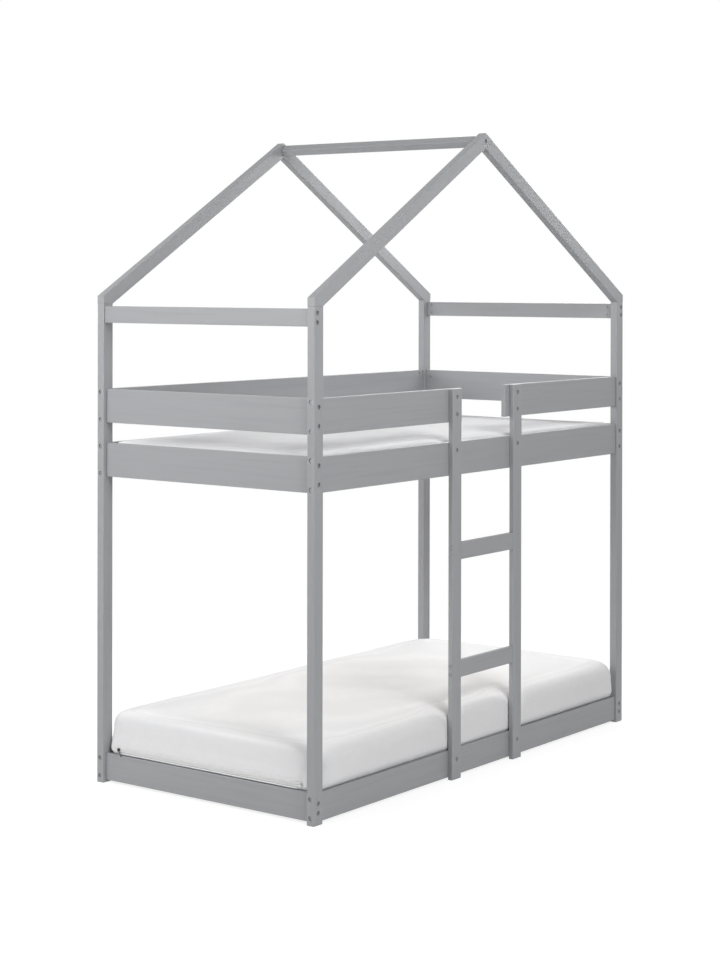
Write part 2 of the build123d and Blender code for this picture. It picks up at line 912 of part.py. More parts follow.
def fastener_parts():
    corners = [(is_left, is_front) for is_left in (True, False) for is_front in (True, False)]
    side_lines = [bolt for corner in corners for bolt in side_post_bolts(*corner)]
    end_lines = [bolt for corner in corners for bolt in end_post_bolts(*corner)]
    rung_lines = both_rung_bolts(True) + both_rung_bolts(False)
    apex_lines = [apex_bolt(True), apex_bolt(False)]
    face_lines = ladder_face_bolts(True) + ladder_face_bolts(False)
    return {
        "side_board_bolts": group(cross_bolt_solid(bolt) for bolt in side_lines),
        "side_board_nuts": group(cross_nut(bolt) for bolt in side_lines),
        "end_board_bolts": group(cross_bolt_solid(bolt) for bolt in end_lines),
        "end_board_nuts": group(cross_nut(bolt) for bolt in end_lines),
        "ridge_bolts": group(cross_bolt_solid(bolt) for bolt in apex_lines),
        "ridge_nuts": group(cross_nut(bolt) for bolt in apex_lines),
        "rung_bolts": group(cross_bolt_solid(bolt) for bolt in rung_lines),
        "rung_nuts": group(cross_nut(bolt) for bolt in rung_lines),
        "ladder_bolts": group(face_bolt_solid(bolt) for bolt in face_lines),
        "ladder_insert_nuts": group(insert_nut(bolt) for bolt in face_lines),
        "rafter_foot_screws": group(foot_screw(*corner) for corner in corners),
        "rafter_foot_dowels": group(foot_dowel_rod(*corner, foot_dowel_radius) for corner in corners),
    }


def soft_parts():
    return {
        "upper_mattress": upper_mattress(),
        "lower_mattress": lower_mattress(),
        "lower_zip_tape": zip_tape(),
        "lower_zip_slider": zip_slider(),
        "lower_zip_pull": zip_pull(),
    }


def main():
    os.makedirs("parts", exist_ok=True)
    parts = frame_parts() | ladder_parts() | base_parts() | fastener_parts() | soft_parts()
    for name, solid in parts.items():
        export_step(solid, "parts/" + name + ".step")
    print(len(parts), "nodes, peak at", round(peak, 1))


main()
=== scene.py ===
import math

import bmesh
import bpy
import numpy as np
from mathutils import Matrix, Vector, noise


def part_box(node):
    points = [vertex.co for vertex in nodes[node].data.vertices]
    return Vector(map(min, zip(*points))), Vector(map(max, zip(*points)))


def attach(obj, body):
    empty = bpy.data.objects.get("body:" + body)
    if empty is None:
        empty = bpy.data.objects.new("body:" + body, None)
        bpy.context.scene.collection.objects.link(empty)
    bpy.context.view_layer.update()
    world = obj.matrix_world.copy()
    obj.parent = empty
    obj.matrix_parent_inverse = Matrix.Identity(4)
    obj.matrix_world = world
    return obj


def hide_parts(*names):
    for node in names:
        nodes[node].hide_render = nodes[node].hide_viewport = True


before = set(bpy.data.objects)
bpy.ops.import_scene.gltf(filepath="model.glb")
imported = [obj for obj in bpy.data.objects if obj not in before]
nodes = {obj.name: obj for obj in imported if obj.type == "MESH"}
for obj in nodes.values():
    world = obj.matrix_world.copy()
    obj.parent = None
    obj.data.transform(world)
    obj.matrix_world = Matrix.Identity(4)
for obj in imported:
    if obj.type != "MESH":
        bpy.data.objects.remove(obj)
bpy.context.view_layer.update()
print("stage 1: frame loaded,", len(nodes), "nodes")

mm = 0.001


# Camera, fitted to the edges and bolts of the photograph
photoCamera = {
    "place": (-6.0640, -4.5042, 1.7608),  # metres
    "yaw": 52.993,  # degrees from +Y towards +X
    "pitch": -0.250,
    "roll": 0.107,
    "lens": 75.441,  # millimetres on a 36 mm film
    "film": 36.0,
    "shiftX": -0.004945,
    "shiftY": -0.19848,
    "clipEnd": 60.0,
}


def makeCamera(c):
    yaw, pitch, roll = (math.radians(c[key]) for key in ("yaw", "pitch", "roll"))
    forward = Vector((math.sin(yaw) * math.cos(pitch), math.cos(yaw) * math.cos(pitch), math.sin(pitch)))
    level = Vector((math.cos(yaw), -math.sin(yaw), 0))
    upright = level.cross(forward)
    right = level * math.cos(roll) + upright * math.sin(roll)
    up = upright * math.cos(roll) - level * math.sin(roll)
    data = bpy.data.cameras.new("photoCamera")
    data.lens = c["lens"]
    data.sensor_width = c["film"]
    data.shift_x = c["shiftX"]
    data.shift_y = c["shiftY"]
    data.clip_end = c["clipEnd"]
    camera = bpy.data.objects.new("photoCamera", data)
    bpy.context.scene.collection.objects.link(camera)
    turn = Matrix((right, up, -forward)).transposed().to_4x4()
    camera.matrix_world = Matrix.Translation(c["place"]) @ turn
    bpy.context.scene.camera = camera


makeCamera(photoCamera)


# Shared by every material
def hexColour(text):  # sRGB hex to the linear values that the shaders use
    parts = [int(text[i:i + 2], 16) / 255 for i in (1, 3, 5)]
    linear = [p / 12.92 if p <= 0.04045 else ((p + 0.055) / 1.055) ** 2.4 for p in parts]
    return (*linear, 1.0)


def addNode(tree, kind, settings=None, inputs=None):  # an input is a value or another node's output
    made = tree.nodes.new("ShaderNode" + kind)
    for name, value in (settings or {}).items():
        setattr(made, name, value)
    for name, value in (inputs or {}).items():
        if isinstance(value, bpy.types.NodeSocket):
            tree.links.new(value, made.inputs[name])
        else:
            made.inputs[name].default_value = value
    return made


def newMaterial(name):
    material = bpy.data.materials.new(name)
    material.use_nodes = True
    material.node_tree.nodes.clear()
    return material, material.node_tree


def dress(piece, material):
    piece.data.materials.clear()
    piece.data.materials.append(material)


# Lacquered pine: sprayed satin acrylic over planed, sanded boards. To the eye it is an even, silky
# mid grey, in which only the deepest grain lines and a faint orange peel catch the light.
satinLacquer = {
    "colour": "#9C9DA0",
    "grainTint": "#96979A",  # the film is thinner over the hard winter rings
    "roughness": 0.44,
    "roughnessSpread": 0.07,
    "ior": 1.47,
    "coat": 0.12,
    "coatRoughness": 0.25,
    "grainLength": 420.0,  # mm along the board
    "grainWidth": 11.0,  # mm across it, three times as wide as real rings so that it shows
    "grainDepth": 0.05,  # mm
    "grainFrom": 0.46,  # of the noise, where a winter ring begins
    "grainTo": 0.68,
    "grainWaver": 0.2,
    "peelSize": 9.0,  # mm, the spray's orange peel, drawn coarse so that it shows
    "peelDepth": 0.03,
    "patchSize": 420.0,  # mm, slow drift of the tone
}


def satinLacquerMaterial(name, direction, s):
    material, tree = newMaterial(name)
    turn = direction.to_track_quat("X", "Z").to_euler()
    place = addNode(tree, "TexCoord").outputs["Object"]
    along = addNode(tree, "Mapping", {"vector_type": "TEXTURE"}, {
        "Vector": place, "Rotation": turn,
        "Scale": (s["grainLength"] * mm, s["grainWidth"] * mm, s["grainWidth"] * mm)})
    grain = addNode(tree, "TexNoise", {"noise_dimensions": "3D"}, {
        "Vector": along.outputs[0], "Scale": 1.0, "Detail": 1.0, "Roughness": 0.5,
        "Distortion": s["grainWaver"]})
    lines = addNode(tree, "MapRange", {"interpolation_type": "SMOOTHSTEP"}, {
        0: grain.outputs[0], "From Min": s["grainFrom"], "From Max": s["grainTo"]})
    patch = addNode(tree, "TexNoise", None, {
        "Vector": place, "Scale": 1 / (s["patchSize"] * mm), "Detail": 2.0})
    peel = addNode(tree, "TexNoise", None, {
        "Vector": place, "Scale": 1 / (s["peelSize"] * mm), "Detail": 0.0})
    tint = addNode(tree, "Math", {"operation": "MULTIPLY"}, {0: lines.outputs[0], 1: patch.outputs[0]})
    colour = addNode(tree, "Mix", {"data_type": "RGBA"}, {
        0: tint.outputs[0], 6: hexColour(s["colour"]), 7: hexColour(s["grainTint"])})
    gloss = addNode(tree, "MapRange", None, {
        0: patch.outputs[0], "To Min": s["roughness"] - s["roughnessSpread"],
        "To Max": s["roughness"] + s["roughnessSpread"]})
    grainBump = addNode(tree, "Bump", {"invert": True}, {
        "Height": lines.outputs[0], "Distance": s["grainDepth"] * mm, "Strength": 1.0})
    peelBump = addNode(tree, "Bump", None, {
        "Height": peel.outputs[0], "Distance": s["peelDepth"] * mm, "Normal": grainBump.outputs[0]})
    shader = addNode(tree, "BsdfPrincipled", None, {
        "Base Color": colour.outputs[2], "Roughness": gloss.outputs[0], "Normal": peelBump.outputs[0],
        "IOR": s["ior"], "Coat Weight": s["coat"], "Coat Roughness": s["coatRoughness"]})
    addNode(tree, "OutputMaterial", None, {"Surface": shader.outputs[0]})
    return material


# Planed pine, unpainted: pale straw wood with tan winter rings, small knots and a dry, matt face
planedPine = {
    "early": "#EAE1CF",
    "late": "#D5C1A1",
    "knot": "#8E5F36",
    "ringWidth": 4.0,  # mm
    "ringFrom": -0.2,  # of the sine, where a winter ring begins
    "slant": 0.6,  # how far the rings lean from the board's face
    "waver": 9.0,  # mm that the rings wander
    "waverLength": 380.0,  # mm
    "waverWidth": 60.0,  # mm
    "fibre": 0.7,  # mm
    "fibreLength": 40.0,  # mm
    "knotSpacing": 150.0,  # mm
    "knotSize": 0.055,  # of the spacing
    "knotFade": 1.6,  # of the knot's size
    "knotStrength": 0.8,
    "ior": 1.45,
    "roughness": 0.62,
    "depth": 0.12,  # mm
}


def planedPineMaterial(name, direction, s):
    material, tree = newMaterial(name)
    turn = direction.to_track_quat("X", "Z").to_euler()
    place = addNode(tree, "TexCoord").outputs["Object"]
    board = addNode(tree, "Mapping", {"vector_type": "TEXTURE"}, {
        "Vector": place, "Rotation": turn,
        "Scale": (s["waverLength"] * mm, s["waverWidth"] * mm, s["waverWidth"] * mm)})
    wander = addNode(tree, "TexNoise", None, {"Vector": board.outputs[0], "Scale": 1.0, "Detail": 2.0})
    across = addNode(tree, "Mapping", {"vector_type": "TEXTURE"}, {
        "Vector": place, "Rotation": turn, "Scale": (mm, mm, mm)})
    parts = addNode(tree, "SeparateXYZ", None, {0: across.outputs[0]})
    shift = addNode(tree, "Math", {"operation": "MULTIPLY_ADD"}, {
        0: wander.outputs[0], 1: 2 * s["waver"], 2: parts.outputs[1]})
    depth = addNode(tree, "Math", {"operation": "MULTIPLY_ADD"}, {
        0: parts.outputs[2], 1: s["slant"], 2: shift.outputs[0]})
    turns = addNode(tree, "Math", {"operation": "MULTIPLY"}, {
        0: depth.outputs[0], 1: 2 * math.pi / s["ringWidth"]})
    rings = addNode(tree, "Math", {"operation": "SINE"}, {0: turns.outputs[0]})
    band = addNode(tree, "MapRange", {"interpolation_type": "SMOOTHSTEP"}, {
        0: rings.outputs[0], "From Min": s["ringFrom"], "From Max": 1.0})
    fine = addNode(tree, "Mapping", {"vector_type": "TEXTURE"}, {
        "Vector": place, "Rotation": turn,
        "Scale": (s["fibreLength"] * mm, s["fibre"] * mm, s["fibre"] * mm)})
    fibre = addNode(tree, "TexNoise", None, {"Vector": fine.outputs[0], "Scale": 1.0, "Detail": 2.0})
    wood = addNode(tree, "Mix", {"data_type": "RGBA"}, {
        0: band.outputs[0], 6: hexColour(s["early"]), 7: hexColour(s["late"])})
    spots = addNode(tree, "TexVoronoi", None, {"Vector": place, "Scale": 1 / (s["knotSpacing"] * mm)})
    isKnot = addNode(tree, "MapRange", {"interpolation_type": "SMOOTHSTEP"}, {
        0: spots.outputs["Distance"], "From Min": s["knotSize"] * s["knotFade"],
        "From Max": s["knotSize"], "To Min": 0.0, "To Max": s["knotStrength"]})
    colour = addNode(tree, "Mix", {"data_type": "RGBA"}, {
        0: isKnot.outputs[0], 6: wood.outputs[2], 7: hexColour(s["knot"])})
    height = addNode(tree, "Math", {"operation": "ADD"}, {0: band.outputs[0], 1: fibre.outputs[0]})
    bump = addNode(tree, "Bump", None, {"Height": height.outputs[0], "Distance": s["depth"] * mm})
    shader = addNode(tree, "BsdfPrincipled", None, {
        "Base Color": colour.outputs[2], "Roughness": s["roughness"], "IOR": s["ior"],
        "Normal": bump.outputs[0]})
    addNode(tree, "OutputMaterial", None, {"Surface": shader.outputs[0]})
    return material


# Zinc-plated steel: cold-headed, then barrel plated. A cool grey metal with a dull, cloudy gloss.
zincPlate = {
    "colour": "#A2A4A7",
    "cloud": "#8A8D91",
    "roughness": 0.50,
    "cloudSize": 2.5,  # mm
    "scuffSize": 0.35,  # mm
    "scuffDepth": 0.01,
}

# Black enamelled zinc die casting: nearly black, smooth and softly glossy, with rubbed high spots
blackEnamel = {
    "colour": "#1D1A18",
    "cloud": "#2B2624",
    "roughness": 0.36,
    "cloudSize": 3.0,
    "scuffSize": 0.5,
    "scuffDepth": 0.012,
}

scuffGloss = (-0.08, 0.12)  # what the scuffs do to the roughness


def smallHardwareMaterial(name, s, metallic):
    material, tree = newMaterial(name)
    place = addNode(tree, "TexCoord").outputs["Object"]
    cloud = addNode(tree, "TexNoise", None, {
        "Vector": place, "Scale": 1 / (s["cloudSize"] * mm), "Detail": 3.0})
    scuff = addNode(tree, "TexNoise", None, {
        "Vector": place, "Scale": 1 / (s["scuffSize"] * mm), "Detail": 2.0})
    colour = addNode(tree, "Mix", {"data_type": "RGBA"}, {
        0: cloud.outputs[0], 6: hexColour(s["colour"]), 7: hexColour(s["cloud"])})
    gloss = addNode(tree, "MapRange", None, {
        0: scuff.outputs[0], "To Min": s["roughness"] + scuffGloss[0],
        "To Max": s["roughness"] + scuffGloss[1]})
    bump = addNode(tree, "Bump", None, {"Height": scuff.outputs[0], "Distance": s["scuffDepth"] * mm})
    shader = addNode(tree, "BsdfPrincipled", None, {
        "Base Color": colour.outputs[2], "Metallic": metallic, "Roughness": gloss.outputs[0],
        "Normal": bump.outputs[0]})
    addNode(tree, "OutputMaterial", None, {"Surface": shader.outputs[0]})
    return material


# Knitted polyester ticking over foam: soft white, matt, with tiny loops in rows, whose hollows are painted
# darker as painted shade and whose tops are painted lighter as a painted highlight.
# Its mottle and slow waves are what shows from a few metres.
knitTicking = {
    "colour": "#EEEEEF",
    "hollowShade": "#E2E2E4",  # painted shade between the loops
    "loopWidth": 3.0,  # mm, twice the real wale so that it shows
    "loopHeight": 2.2,  # mm
    "loopDepth": 0.30,  # mm
    "mottleSize": 34.0,  # mm
    "roughness": 0.86,
}

# Woven polyester webbing: flat, natural white, with fine threads and a dull sheen; the hollows between
# threads are painted darker as painted shade and the thread tops lighter as a painted highlight
wovenWebbing = {
    "colour": "#E4E1DA",
    # painted shade between the threads
    "hollowShade": "#C9C5BC",
    "loopWidth": 1.8,
    "loopHeight": 1.8,
    "loopDepth": 0.25,
    "mottleSize": 20.0,
    "roughness": 0.72,
}

# Woven zip tape: thin white polyester with a tight, smooth face; its fine hollows are painted darker as
# painted shade and the tops lighter as a painted highlight
wovenTape = {
    "colour": "#EDEDEC",
    # painted shade in the tape's fine hollows
    "hollowShade": "#D8D8D8",
    "loopWidth": 0.9,
    "loopHeight": 0.9,
    "loopDepth": 0.12,
    "mottleSize": 12.0,
    "roughness": 0.70,
}

loopEdge = 1.2  # of the summed sines, where a loop's top and its hollow are reached
loopShadeShare = (0.35, 1.4)  # of the lighter colour, in a hollow and on a top: painted shade in the hollows, a painted highlight on the tops
fabricIor = 1.5


def fabricMaterial(name, s, sheen):
    material, tree = newMaterial(name)
    place = addNode(tree, "TexCoord").outputs["Object"]
    parts = addNode(tree, "SeparateXYZ", None, {0: place})
    rows = []
    for axis, size in ((0, "loopWidth"), (1, "loopWidth"), (2, "loopHeight")):
        turns = addNode(tree, "Math", {"operation": "MULTIPLY"}, {
            0: parts.outputs[axis], 1: 2 * math.pi / (s[size] * mm)})
        rows.append(addNode(tree, "Math", {"operation": "SINE"}, {0: turns.outputs[0]}).outputs[0])
    pair = addNode(tree, "Math", {"operation": "MULTIPLY"}, {0: rows[0], 1: rows[1]})
    loops = addNode(tree, "Math", {"operation": "ADD"}, {0: pair.outputs[0], 1: rows[2]})
    height = addNode(tree, "MapRange", {"interpolation_type": "SMOOTHSTEP"}, {
        0: loops.outputs[0], "From Min": -loopEdge, "From Max": loopEdge})
    mottle = addNode(tree, "TexNoise", None, {
        "Vector": place, "Scale": 1 / (s["mottleSize"] * mm), "Detail": 3.0, "Roughness": 0.6})
    # painted shade and highlight: the colour follows the loop height, darker in the hollows and lighter on
    # the tops, mixed with the mottle's random tone
    shade = addNode(tree, "Math", {"operation": "MULTIPLY"}, {0: height.outputs[0], 1: mottle.outputs[0]})
    paintedLoopShade = addNode(tree, "MapRange", None, {
        0: shade.outputs[0], "To Min": loopShadeShare[0], "To Max": loopShadeShare[1]})
    colour = addNode(tree, "Mix", {"data_type": "RGBA"}, {
        0: paintedLoopShade.outputs[0], 6: hexColour(s["hollowShade"]), 7: hexColour(s["colour"])})
    bump = addNode(tree, "Bump", None, {"Height": height.outputs[0], "Distance": s["loopDepth"] * mm})
    shader = addNode(tree, "BsdfPrincipled", None, {
        "Base Color": colour.outputs[2], "Roughness": s["roughness"], "IOR": fabricIor,
        "Sheen Weight": sheen, "Sheen Roughness": 0.5, "Normal": bump.outputs[0]})
    addNode(tree, "OutputMaterial", None, {"Surface": shader.outputs[0]})
    return material


# Which way the wood runs in a CAD node: along its longest side, or up the slope of a rafter
def boardDirection(name):
    low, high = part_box(name)
    size = high - low
    if name in ("rafter_front_left", "rafter_back_left"):
        return Vector((size.x, 0, size.z)).normalized()
    if name in ("rafter_front_right", "rafter_back_right"):
        return Vector((-size.x, 0, size.z)).normalized()
    axis = max(range(3), key=lambda i: size[i])
    return Vector([1.0 if i == axis else 0.0 for i in range(3)])


def finishFor(name, kind):  # the material's name, what makes it and from what
    if kind == "painted_wood":
        direction = boardDirection(name)
        label = "satinLacquer" + "".join("%+03d" % round(v * 10) for v in direction)
        return label.replace("+", "p").replace("-", "n"), satinLacquerMaterial, (direction, satinLacquer)
    if kind == "bare_wood" and name.endswith("slats"):
        return "planedPineAcross", planedPineMaterial, (Vector((0, 1, 0)), planedPine)
    if kind == "bare_wood":
        return "planedPineAlong", planedPineMaterial, (Vector((1, 0, 0)), planedPine)
    if kind == "dowel_wood":  # beech is as pale as the pine
        return "planedBeech", planedPineMaterial, (Vector((0, 0, 1)), planedPine)
    if kind in ("bolt_steel", "nut_steel", "screw_steel"):
        return "zincPlatedSteel", smallHardwareMaterial, (zincPlate, 1.0)
    if kind == "webbing":
        return "wovenWebbing", fabricMaterial, (wovenWebbing, 0.1)
    if kind == "zip_metal":
        return "blackEnamelledZinc", smallHardwareMaterial, (blackEnamel, 0.0)
    return None  # the mattresses and the zip's tape are made below


def dressCadNodes():
    kinds = {name: piece.data.materials[0].name.split(".")[0] for name, piece in nodes.items()}
    made = {}
    for name, piece in nodes.items():
        finish = finishFor(name, kinds[name])
        if finish is None:
            continue
        label, maker, details = finish
        if label not in made:
            made[label] = maker(label, *details)
        dress(piece, made[label])


dressCadNodes()
print("stage 2: wood, steel and webbing finished")


# Sewn and foam pieces
def readPoints(piece):
    points = np.empty(len(piece.data.vertices) * 3)
    piece.data.vertices.foreach_get("co", points)
    return points.reshape(-1, 3)


def writePoints(piece, points):
    piece.data.vertices.foreach_set("co", points.ravel())
    piece.data.update()


def readNormals(piece):
    normals = np.empty(len(piece.data.vertices) * 3)
    piece.data.vertices.foreach_get("normal", normals)
    return normals.reshape(-1, 3)


def smooth(low, high, value):
    t = np.clip((value - low) / (high - low), 0, 1)
    return t * t * (3 - 2 * t)


def addPiece(name, data):
    piece = bpy.data.objects.new(name, data)
    bpy.context.scene.collection.objects.link(piece)
    return piece


def applyModifiers(piece):
    dg = bpy.context.evaluated_depsgraph_get()
    made = bpy.data.meshes.new_from_object(piece.evaluated_get(dg))
    piece.modifiers.clear()
    old = piece.data
    piece.data = made
    bpy.data.meshes.remove(old)


def remeshedCopy(name, cadName, voxel):
    piece = addPiece(name, nodes[cadName].data.copy())
    remesh = piece.modifiers.new("remesh", "REMESH")
    remesh.mode = "VOXEL"
    remesh.voxel_size = voxel
    applyModifiers(piece)
    return piece


def swell(piece, s):  # the foam pushes the cover out, and the cover's own tension rounds its edges
    start = readPoints(piece)
    cloth = piece.modifiers.new("cloth", "CLOTH")
    cloth.settings.quality = s["quality"]
    cloth.settings.use_pressure = True
    cloth.settings.uniform_pressure_force = s["pressure"]
    cloth.settings.effector_weights.gravity = 0
    cloth.settings.bending_stiffness = s["bending"]
    cloth.point_cache.frame_end = s["frames"]
    for step in range(1, s["frames"] + 1):
        bpy.context.scene.frame_set(step)
    applyModifiers(piece)
    bpy.context.scene.frame_set(1)
    moved = readPoints(piece) - start
    length = np.linalg.norm(moved, axis=1, keepdims=True) + 1e-9
    writePoints(piece, start + moved / length * s["cap"] * np.tanh(length / s["cap"]))


def subdivide(piece):
    piece.modifiers.new("finer", "SUBSURF").levels = 1
    applyModifiers(piece)
    for face in piece.data.polygons:
        face.use_smooth = True


def waves(points, size, seed):  # slow random swell, from -1 to 1
    offset = Vector((seed * 7.3, seed * 3.1, seed * 1.7))
    return np.array([noise.noise(Vector(p) / size + offset) for p in points])


lowerPad = {
    "voxel": 0.011,  # metres, as is everything here but the shares
    "quality": 4,
    "pressure": 4.0,
    "bending": 0.5,
    "frames": 20,
    "cap": 0.004,  # the most that the simulation moves a point
    "sideFacing": (0.3, 0.8),  # how squarely a face looks outward before it counts as a wall
    "topFacing": (0.4, 0.9),
    "wallGrows": (0.0, 0.22),  # shares of the height over the rails, here and below
    "wallEases": (0.7, 1.0),
    "wallEase": 0.5,
    "postFade": (0.004, 0.05),  # from a post's inner side
    "frontBulge": 0.013,  # over the front rail, between posts and stiles
    "bulgeVaries": 0.12,
    "bulgeWave": 0.35,
    "backBulge": 0.002,
    "hemBulge": 0.006,  # over the end rails, beside the posts
    "hemGrows": (0.0, 0.12),
    "hemEases": (0.16, 0.62),
    "hemFrom": 0.055,  # from the mattress's side
    "hemFull": 0.030,
    "waist": 0.003,  # the end walls draw in at mid height
    "waistGrows": (0.25, 0.5),
    "crown": 0.004,
    "cornerReach": 0.16,  # how far along each side a corner is pulled in
    "cornerShare": 0.7,  # of the pull, along each side
    "cornerPull": 0.010,  # at mid height
    "pullGrows": (0.15, 0.6),
    "cornerTopPull": 0.024,  # and more at the top
    "topPullGrows": (0.72, 1.0),
    "cornerDrop": 0.012,
    "dropGrows": (0.6, 1.0),
    "waveHeight": 0.0016,
    "waveSize": 0.24,
    "sideWave": 0.7,  # of the top's wave size
    "stileClear": 0.012,  # from a stile's side to the start of the dent's rounding
    "stileTopClear": 0.030,  # and more at the top
    "topClearGrows": (0.55, 1.0),
    "stileRound": 0.022,
    "dimple": 0.0025,  # in the top, behind each stile
    "dimpleReach": 0.09,
    "stileDrop": 0.010,  # of the top edge beside a stile
    "dropReach": 0.055,
    "softening": 26,  # smoothing rounds at the top edges
    "softGrows": (0.5, 0.8),
    "softWall": 0.12,  # of the rounds, on the walls below
    "softWallGrows": (0.1, 0.3),
    "wallClear": 0.0015,
}

upperPad = {
    "voxel": 0.011,
    "quality": 4,
    "pressure": 4.0,
    "bending": 0.5,
    "frames": 20,
    "cap": 0.003,
    "topFacing": (0.4, 0.9),
    "crown": 0.004,
    "waveHeight": 0.0016,
    "waveSize": 0.22,
    "lip": 0.010,  # over the front rail's top edge
    "lipRise": 0.005,
    "lipFrom": 0.016,  # below the mattress's top
    "lipFull": 0.004,
    "lipReach": 0.03,
    "postFade": (0.004, 0.06),
    "stileClear": 0.012,
    "stileRound": 0.030,
    "dimple": 0.004,
    "dimpleReach": 0.09,
    "softening": 6,
    "softFrom": 0.006,  # below the rail's top
    "wallClear": 0.0015,
}


def stileSpans():
    for side in ("left", "right"):
        low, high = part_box("ladder_stile_" + side)
        yield (low.x + high.x) / 2, (high.x - low.x) / 2, high.y


# 0 behind the ladder, so that the foam lifts past its rungs, and 1 away from it, rounded like pressed foam
def stileDent(x, clear, rounding):
    outer = max(abs(middle) + half for middle, half, _ in stileSpans())
    t = np.clip((np.abs(x) - outer - clear) / rounding, 0, 1)
    return np.sqrt(1 - (1 - t) ** 2)


def stileDimple(x, y, reach):  # a shallow hollow in the top, where a stile holds the foam back
    return sum(np.exp(-((x - middle) / reach) ** 2 - ((y - back) / reach) ** 2)
               for middle, half, back in stileSpans())


def crownPlan(x, y, middleY, high):  # 1 in the middle of the top, 0 at its edges
    return np.clip(1 - (x / high.x) ** 2, 0, 1) * np.clip(1 - ((y - middleY) / (high.y - middleY)) ** 2, 0, 1)


def soften(piece, weights, rounds):
    group = piece.vertex_groups.new(name="soft")
    for i in np.nonzero(weights > 0.01)[0]:
        group.add([int(i)], float(weights[i]), "REPLACE")
    smoothing = piece.modifiers.new("soften", "SMOOTH")
    smoothing.factor = 0.5
    smoothing.iterations = rounds
    smoothing.vertex_group = group.name
    applyModifiers(piece)
    piece.vertex_groups.clear()


def keepOut(points, cadName, clear):  # moves points out of a board, through its nearest face
    low, high = (np.array(c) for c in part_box(cadName))
    low, high = low - clear, high + clear
    held = np.all((points > low) & (points < high), axis=1)
    p = points[held]
    nearest = np.concatenate((p - low, high - p), axis=1).argmin(axis=1)
    axis = nearest % 3
    p[np.arange(len(p)), axis] = np.where(nearest < 3, low[axis], high[axis])
    points[held] = p


def clearOfFrame(points, level, clear):  # level is "lower" or "upper"
    rails = {side: level + "_rail_" + side for side in ("front", "back", "end_left", "end_right")}
    for rail in rails.values():
        keepOut(points, rail, clear)
    x, y, z = points.T
    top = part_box(rails["front"])[1].z
    over = ((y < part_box(rails["front"])[1].y) | (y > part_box(rails["back"])[0].y)
            | (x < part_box(rails["end_left"])[1].x) | (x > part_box(rails["end_right"])[0].x))
    z[over] = np.maximum(z[over], top + clear)
    for side in ("left", "right"):
        keepOut(points, "post_front_" + side, clear)
        keepOut(points, "post_back_" + side, clear)
        keepOut(points, "ladder_stile_" + side, clear)
    z[:] = np.maximum(z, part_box(level + "_mattress")[0].z)


def makeLowerMattress(s):
    piece = remeshedCopy("lowerMattressCover", "lower_mattress", s["voxel"])
    low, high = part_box("lower_mattress")
    swell(piece, s)
    subdivide(piece)
    points, normals = readPoints(piece), readNormals(piece)
    x, y, z = points.T
    middleY = (low.y + high.y) / 2
    halfWidth = (high.y - low.y) / 2
    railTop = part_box("lower_rail_front")[1].z
    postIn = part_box("post_front_right")[0].x
    tall = np.clip((z - railTop) / (high.z - railTop), 0, 1)  # 0 at the rails' top, 1 at the mattress's
    wall = smooth(*s["wallGrows"], tall) * (1 - s["wallEase"] * smooth(*s["wallEases"], tall))
    front = smooth(*s["sideFacing"], -normals[:, 1]) * wall
    back = smooth(*s["sideFacing"], normals[:, 1]) * wall
    ends = smooth(*s["sideFacing"], np.abs(normals[:, 0]))
    top = smooth(*s["topFacing"], normals[:, 2]) * (tall > 0.5)
    postFade = smooth(*s["postFade"], postIn - np.abs(x))
    stileClear = s["stileClear"] + s["stileTopClear"] * smooth(*s["topClearGrows"], tall)
    room = stileDent(x, stileClear, s["stileRound"])
    fromCorner = high.x - np.abs(x) + halfWidth - np.abs(y - middleY)
    corner = np.clip(1 - fromCorner / s["cornerReach"], 0, 1) ** 2
    pull = s["cornerPull"] * smooth(*s["pullGrows"], tall)
    pull = (pull + s["cornerTopPull"] * smooth(*s["topPullGrows"], tall)) * s["cornerShare"]
    plan = crownPlan(x, y, middleY, high)
    uneven = 1 + s["bulgeVaries"] * waves(points, s["bulgeWave"], 3)
    y -= front * room * postFade * s["frontBulge"] * uneven
    y += back * postFade * s["backBulge"]
    x -= np.sign(x) * ends * smooth(*s["waistGrows"], tall) * s["waist"]
    beside = smooth(high.y - s["hemFrom"], high.y - s["hemFull"], np.abs(y - middleY) + middleY)
    hem = smooth(*s["hemGrows"], tall) * (1 - smooth(*s["hemEases"], tall)) * beside
    x += np.sign(x) * ends * hem * s["hemBulge"]
    x -= np.sign(x) * corner * pull
    y -= np.sign(y - middleY) * corner * pull
    z -= corner * smooth(*s["dropGrows"], tall) * s["cornerDrop"]
    z += top * (s["crown"] * np.sqrt(plan) + s["waveHeight"] * waves(points, s["waveSize"], 1))
    z -= top * s["dimple"] * stileDimple(x, y, s["dimpleReach"])
    for middle, half, _ in stileSpans():
        aside = np.maximum(np.abs(x - middle) - half, 0)
        near = np.exp(-(aside / s["dropReach"]) ** 2 - ((y - low.y) / s["dropReach"]) ** 2)
        z -= smooth(*s["dropGrows"], tall) * s["stileDrop"] * near
    y += (front - back) * s["waveHeight"] * waves(points, s["waveSize"] * s["sideWave"], 2)
    writePoints(piece, points)
    softness = np.maximum(smooth(*s["softGrows"], tall), s["softWall"] * smooth(*s["softWallGrows"], tall))
    soften(piece, softness, s["softening"])
    points = readPoints(piece)
    clearOfFrame(points, "lower", s["wallClear"])
    writePoints(piece, points)
    return piece


